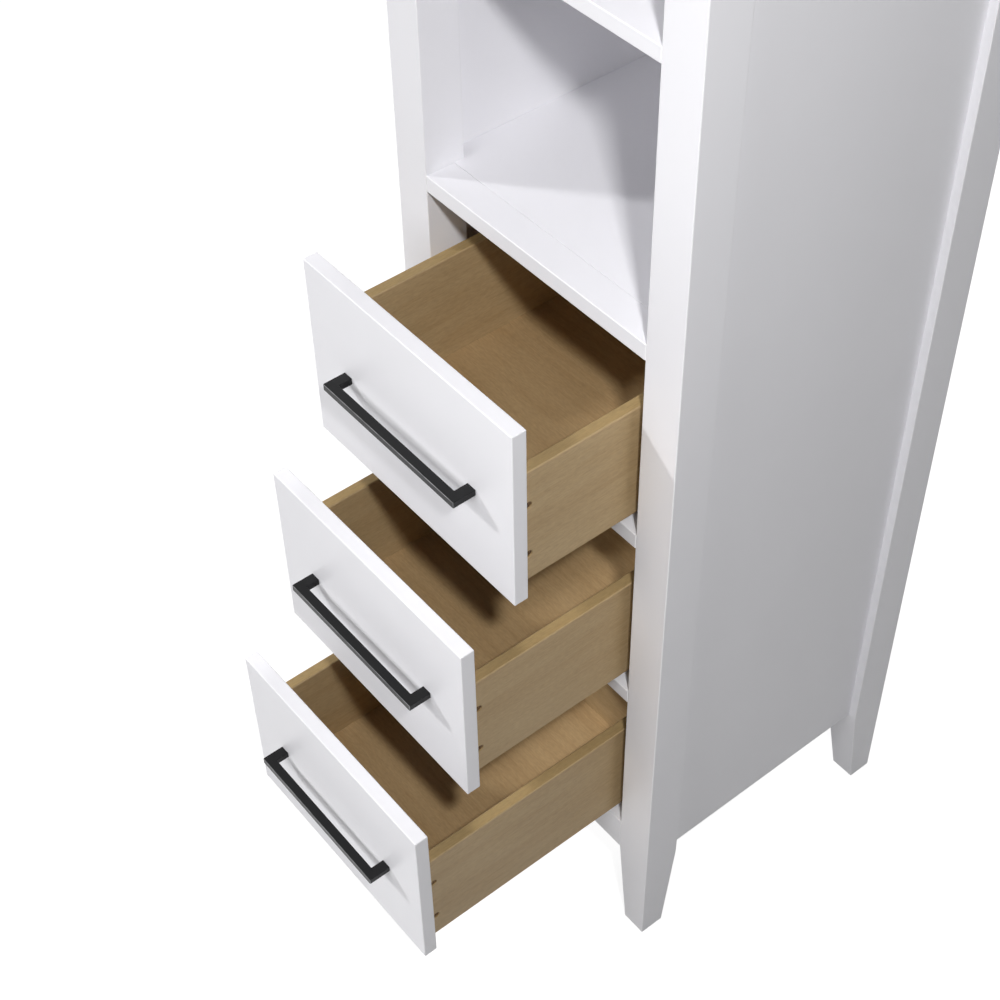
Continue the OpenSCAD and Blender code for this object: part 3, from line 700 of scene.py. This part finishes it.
def zinc_plate(finishes):
    """Zinc plated steel of the slides and the hidden screws."""
    return shared_material("Zinc plated steel", steel_material, plating=finishes.zinc)


def bronze_plate(finishes):
    """Bronze plated steel of the drawer boxes' screws."""
    return shared_material("Bronze plated screws", steel_material, plating=finishes.bronze)


def dress(piece, material):
    """Gives a piece its one material."""
    if piece.data.materials:
        piece.data.materials[0] = material
    else:
        piece.data.materials.append(material)


def settle(piece, nodes, body, material):
    """Puts a finished piece in the place of its nodes, on their body, with its material slot."""
    dress(piece, material)
    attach(piece, body)
    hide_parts(*nodes)


# ---------------------------------------------------------------- pieces

class MakePosts(bpy.types.Operator):
    """Four square posts with tapered legs and eased edges"""
    bl_idname = "tower.make_posts"
    bl_label = "Posts"

    def execute(self, context):
        shapes, finishes = context.scene.tower_shapes, context.scene.tower_finishes
        for node, (side, end) in POSTS.items():
            post = tapered_post(f"{node}_painted", node, side, end, shapes)
            settle(post, [node], "cabinet", paint(finishes))
        return {"FINISHED"}


class MakeRails(bpy.types.Operator):
    """Front and rear rails between the posts, with eased edges"""
    bl_idname = "tower.make_rails"
    bl_label = "Rails"

    def execute(self, context):
        shapes, finishes = context.scene.tower_shapes, context.scene.tower_finishes
        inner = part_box("front_right_post")[0].x
        for node in FRONT_RAILS + REAR_RAILS:
            low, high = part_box(node)
            corners = [(low.y, low.z), (high.y, low.z), (high.y, high.z), (low.y, high.z)]
            rail = plate(f"{node}_painted", corners, X, -inner, inner, shapes.shelf_edge)
            settle(rail, [node], "cabinet", paint(finishes))
        return {"FINISHED"}


class MakeShelves(bpy.types.Operator):
    """Top board and upper shelf, with eased edges"""
    bl_idname = "tower.make_shelves"
    bl_label = "Top board and shelf"

    def execute(self, context):
        shapes, finishes = context.scene.tower_shapes, context.scene.tower_finishes
        top = plain_board("top_board_painted", "top_board", Z, shapes.paint_edge)
        settle(top, ["top_board"], "cabinet", paint(finishes))
        low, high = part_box("upper_shelf")
        post_low, post_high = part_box("front_right_post")
        rear_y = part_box("rear_right_post")[0].y
        half, inner = high.x, post_low.x
        right = [(inner, low.y), (inner, post_high.y), (half, post_high.y),
                 (half, rear_y), (inner, rear_y), (inner, high.y)]
        corners = right + [(-x, y) for x, y in right[::-1]]
        shelf = plate("upper_shelf_painted", corners, Z, low.z, high.z, shapes.shelf_edge)
        settle(shelf, ["upper_shelf"], "cabinet", paint(finishes))
        return {"FINISHED"}


class FinishPanels(bpy.types.Operator):
    """Lacquer on the side panels, the back panel, the deck and the bottom panel"""
    bl_idname = "tower.finish_panels"
    bl_label = "Panels"

    def execute(self, context):
        finishes = context.scene.tower_finishes
        for node in ("left_side_panel", "right_side_panel", "back_panel", "deck_panel", "bottom_panel"):
            dress(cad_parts[node], paint(finishes))
        return {"FINISHED"}


class MakeDrawerFronts(bpy.types.Operator):
    """Three slab drawer fronts with eased edges"""
    bl_idname = "tower.make_drawer_fronts"
    bl_label = "Drawer fronts"

    def execute(self, context):
        shapes, finishes = context.scene.tower_shapes, context.scene.tower_finishes
        for drawer in DRAWERS:
            node = f"{drawer}_drawer_front"
            front = plain_board(f"{node}_painted", node, Y, shapes.paint_edge)
            settle(front, [node], f"{drawer}_drawer", paint(finishes))
        return {"FINISHED"}


class FinishDrawerBoxes(bpy.types.Operator):
    """Maple on the drawer boxes, each board from its own part of a log"""
    bl_idname = "tower.finish_drawer_boxes"
    bl_label = "Drawer boxes"

    def execute(self, context):
        finishes = context.scene.tower_finishes
        draw = np.random.default_rng(LOG_SEED)
        for drawer in DRAWERS:
            low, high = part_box(f"{drawer}_drawer_left_side")
            middle = (low + high) / 2
            down, out = draw.uniform(LOG_NEAREST, LOG_FURTHEST, 2)
            for part in ("left_side", "right_side"):
                side_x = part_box(f"{drawer}_drawer_{part}")[0].x
                log = (side_x + out, middle.y, low.z - down)
                dress(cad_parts[f"{drawer}_drawer_{part}"], maple(finishes, drawer, part, Y, log))
            log = (0.0, low.y - out, high.z + down)
            for part in ("inner_front", "back"):
                dress(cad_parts[f"{drawer}_drawer_{part}"], maple(finishes, drawer, "ends", X, log))
            base_low, base_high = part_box(f"{drawer}_drawer_bottom")
            log = (draw.uniform(-VENEER_LOG_SHIFT_X, VENEER_LOG_SHIFT_X),
                   (base_low.y + base_high.y) / 2 + draw.uniform(-VENEER_LOG_SHIFT_Y, VENEER_LOG_SHIFT_Y),
                   base_low.z - VENEER_LOG_DEPTH)
            dress(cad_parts[f"{drawer}_drawer_bottom"], veneer(finishes, drawer, log))
        return {"FINISHED"}


class MakeHandles(bpy.types.Operator):
    """Black bar handles, each one bar with a leg turned back at both ends"""
    bl_idname = "tower.make_handles"
    bl_label = "Handles"

    def execute(self, context):
        shapes, finishes = context.scene.tower_shapes, context.scene.tower_finishes
        edge, corner = shapes.handle_edge, shapes.handle_corner
        for drawer in DRAWERS:
            low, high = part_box(f"{drawer}_handle")
            inner, bar_back = high.x - shapes.handle_leg, low.y + shapes.handle_bar
            corners = [(low.x, high.y), (low.x, low.y), (high.x, low.y), (high.x, high.y),
                       (inner, high.y), (inner, bar_back), (-inner, bar_back), (-inner, high.y)]
            radii = [edge, corner, corner, edge, edge, edge, edge, edge]
            bar = plate(f"{drawer}_handle_coated", corners, Z, low.z, high.z, edge, radii)
            settle(bar, [f"{drawer}_handle"], f"{drawer}_drawer", powder_coat(finishes))
        return {"FINISHED"}


class MakeScrews(bpy.types.Operator):
    """Countersunk screws of the drawer boxes and pan-head screws of the handles"""
    bl_idname = "tower.make_screws"
    bl_label = "Drawer screws"

    def execute(self, context):
        shapes, finishes = context.scene.tower_shapes, context.scene.tower_finishes
        rises = (shapes.corner_screw_rise, shapes.corner_screw_rise + shapes.corner_screw_step)
        for drawer in DRAWERS:
            low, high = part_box(f"{drawer}_drawer_left_side")
            wood, inset = high.x - low.x, shapes.corner_screw_in
            out, back = -low.x - shapes.screw_sink, low.y + wood
            corners = [((side * out, y, low.z + rise), X, side)
                       for side in (-1, 1) for y in (low.y + inset, high.y - inset) for rise in rises]
            fronts = [((x, back - shapes.screw_sink, low.z + rise), Y, 1)
                      for x in (-shapes.front_screw_out, shapes.front_screw_out) for rise in rises]
            for place, heads, long in (("corner", corners, shapes.corner_screw_length),
                                       ("front", fronts, shapes.front_screw_length)):
                made = screws(f"{drawer}_{place}_screws_turned", heads, shapes, shapes.screw_head, long)
                settle(made, [f"{drawer}_drawer_screws"], f"{drawer}_drawer",
                       bronze_plate(finishes))
            bar_low, bar_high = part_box(f"{drawer}_handle")
            pans = [((x, back, (bar_low.z + bar_high.z) / 2), Y, 1)
                    for x in (-shapes.handle_pitch / 2, shapes.handle_pitch / 2)]
            reach = back - bar_high.y + shapes.pan_bite
            made = screws(f"{drawer}_handle_screws_turned", pans, shapes, shapes.pan_head, reach,
                          shapes.pan_dome)
            settle(made, [f"{drawer}_handle_screws"], f"{drawer}_drawer",
                   zinc_plate(finishes))
        return {"FINISHED"}


class FinishHardware(bpy.types.Operator):
    """Zinc on the slides and the cabinet's screws, and bare wood on the slide cleats"""
    bl_idname = "tower.finish_hardware"
    bl_label = "Slides and cleats"

    def execute(self, context):
        finishes = context.scene.tower_finishes
        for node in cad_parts:
            if node.endswith("_members") or node in ("cleat_screws", "slide_screws"):
                dress(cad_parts[node], zinc_plate(finishes))
        for drawer in DRAWERS:
            low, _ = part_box(f"{drawer}_slide_cleats")
            dress(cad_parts[f"{drawer}_slide_cleats"],
                  softwood(finishes, drawer, (0.0, 0.0, low.z - CLEAT_LOG_DEPTH)))
        return {"FINISHED"}


# ---------------------------------------------------------------- studio

def looked_at(graph):
    """1 where a ray comes from the camera, a reflection or a transmission, and 0 elsewhere."""
    path = graph.node("LightPath", None, None).outputs
    direct = graph.math("MAXIMUM", path["Is Camera Ray"], path["Is Glossy Ray"])
    return graph.math("MAXIMUM", direct, path["Is Transmission Ray"])


def make_world(studio):
    """Even room light that looks plain white where it is seen."""
    world = bpy.data.worlds.new("Studio")
    world.use_nodes = True
    graph = Graph(world.node_tree)
    room = graph.node("Background", {"Color": (1, 1, 1, 1), "Strength": studio.room})
    seen = graph.node("Background", {"Color": (1, 1, 1, 1), "Strength": 1.0})
    blend = graph.node("MixShader", {0: looked_at(graph), 1: room, 2: seen})
    graph.tree.links.new(blend, world.node_tree.nodes["World Output"].inputs["Surface"])
    bpy.context.scene.world = world


def make_floor(studio):
    """Plain pale floor, a grid of points at Z = 0, whitened where it is looked at."""
    half = studio.floor_size / 2
    line = np.linspace(-half, half, FLOOR_POINTS)
    x, y = np.meshgrid(line, line)
    points = np.stack([x, y, np.zeros_like(x)], -1).reshape(-1, 3)
    index = np.arange(FLOOR_POINTS ** 2).reshape(FLOOR_POINTS, FLOOR_POINTS)
    quads = np.stack([index[:-1, :-1], index[:-1, 1:], index[1:, 1:], index[1:, :-1]], -1).reshape(-1, 4)
    mesh = bpy.data.meshes.new("studio_floor")
    mesh.from_pydata(points, [], quads.tolist())
    floor = bpy.data.objects.new("studio_floor", mesh)
    bpy.context.scene.collection.objects.link(floor)
    material, graph, shader, _, _ = start_material("Studio floor")
    tone = studio.floor_tone
    shader.inputs["Base Color"].default_value = (tone, tone, tone, 1)
    shader.inputs["Roughness"].default_value = 0.9
    shader.inputs["Specular IOR Level"].default_value = 0.1
    glow = graph.node("Emission", {"Strength": studio.floor_glow})
    bright = graph.node("AddShader", {0: shader.outputs[0], 1: glow})
    blend = graph.node("MixShader", {0: looked_at(graph), 1: shader.outputs[0], 2: bright})
    graph.tree.links.new(blend, material.node_tree.nodes["Material Output"].inputs["Surface"])
    mesh.materials.append(material)


def aimed(direction):
    """Turn of a lamp that shines along a direction."""
    return Vector(direction).to_track_quat("-Z", "Y").to_euler()


def make_lamps(studio):
    """A sun from the upper left front, a small lamp at the upper right, and two soft square ones."""
    key = bpy.data.lights.new("Key", "SUN")
    key.energy = studio.key
    key.angle = studio.key_softness
    key_lamp = bpy.data.objects.new("Key", key)
    key_lamp.rotation_euler = aimed(KEY_DIRECTION)
    bpy.context.scene.collection.objects.link(key_lamp)
    square_lamps = (("Flash", studio.flash, FLASH_SIZE, FLASH_PLACE, FLASH_TARGET),
                    ("Front", studio.front, FRONT_SIZE, FRONT_PLACE, FRONT_TARGET),
                    ("Rear", studio.rear, REAR_SIZE, REAR_PLACE, REAR_TARGET))
    for name, power, size, place, target in square_lamps:
        square = bpy.data.lights.new(name, "AREA")
        square.energy = power
        square.shape = "SQUARE"
        square.size = size
        lamp = bpy.data.objects.new(name, square)
        lamp.location = place
        lamp.rotation_euler = aimed([there - here for here, there in zip(place, target)])
        bpy.context.scene.collection.objects.link(lamp)


def make_camera(studio):
    """Camera turned about the aim point, then shifted to its right and up and rolled.

    The three axes are found from the turn and the rise: the line back to the camera, the level line to
    its right, and their cross product upwards.
    """
    turn, rise, roll = studio.turn, studio.rise, studio.roll
    back = np.array([math.sin(turn) * math.cos(rise), -math.cos(turn) * math.cos(rise), math.sin(rise)])
    right = np.array([math.cos(turn), math.sin(turn), 0.0])
    up = np.cross(back, right)
    aim = np.array([0.0, POST_FRONT, studio.aim_height])
    place = aim + right * studio.pan + up * studio.lift + back * studio.distance
    rolled_right = right * math.cos(roll) + up * math.sin(roll)
    rolled_up = up * math.cos(roll) - right * math.sin(roll)
    lens = bpy.data.cameras.new("Camera")
    lens.lens = studio.lens
    lens.sensor_width = SENSOR_WIDTH
    lens.clip_end = SIGHT
    camera = bpy.data.objects.new("Camera", lens)
    matrix = np.eye(4)
    matrix[:3, :3] = np.stack([rolled_right, rolled_up, back], 1)
    matrix[:3, 3] = place
    camera.matrix_world = Matrix(matrix.tolist())
    bpy.context.scene.collection.objects.link(camera)
    bpy.context.scene.camera = camera


class MakeStudio(bpy.types.Operator):
    """Floor, room light, lamps and camera"""
    bl_idname = "tower.make_studio"
    bl_label = "Studio"

    def execute(self, context):
        studio = context.scene.tower_studio
        make_camera(studio)
        make_world(studio)
        make_floor(studio)
        make_lamps(studio)
        context.scene.view_settings.view_transform = "Standard"
        return {"FINISHED"}


# ---------------------------------------------------------------- add-on

OPERATORS = (MakeStudio, MakePosts, MakeRails, MakeShelves, FinishPanels, MakeDrawerFronts,
             FinishDrawerBoxes, MakeHandles, MakeScrews, FinishHardware)
GROUPS = {"tower_shapes": TowerShapes, "tower_finishes": TowerFinishes, "tower_studio": TowerStudio}


class TowerPanel(bpy.types.Panel):
    """Lists the tower's pieces in the sidebar"""
    bl_idname = "VIEW3D_PT_tower"
    bl_label = "Storage tower"
    bl_space_type = "VIEW_3D"
    bl_region_type = "UI"
    bl_category = "Tower"

    def draw(self, context):
        for operator in OPERATORS:
            self.layout.operator(operator.bl_idname)
        for group in GROUPS:
            settings = getattr(context.scene, group)
            column = self.layout.column(heading=group.replace("_", " ").capitalize())
            for setting in settings.__annotations__:
                column.prop(settings, setting)


def register():
    for group, kind in GROUPS.items():
        bpy.utils.register_class(kind)
        setattr(bpy.types.Scene, group, bpy.props.PointerProperty(type=kind))
    for kind in OPERATORS + (TowerPanel,):
        bpy.utils.register_class(kind)


def unregister():
    for kind in (TowerPanel,) + OPERATORS[::-1]:
        bpy.utils.unregister_class(kind)
    for group, kind in GROUPS.items():
        delattr(bpy.types.Scene, group)
        bpy.utils.unregister_class(kind)


def main():
    """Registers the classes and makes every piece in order."""
    register()
    for operator in OPERATORS:
        family, name = operator.bl_idname.split(".")
        getattr(getattr(bpy.ops, family), name)()


if __name__ == "__main__":
    main()
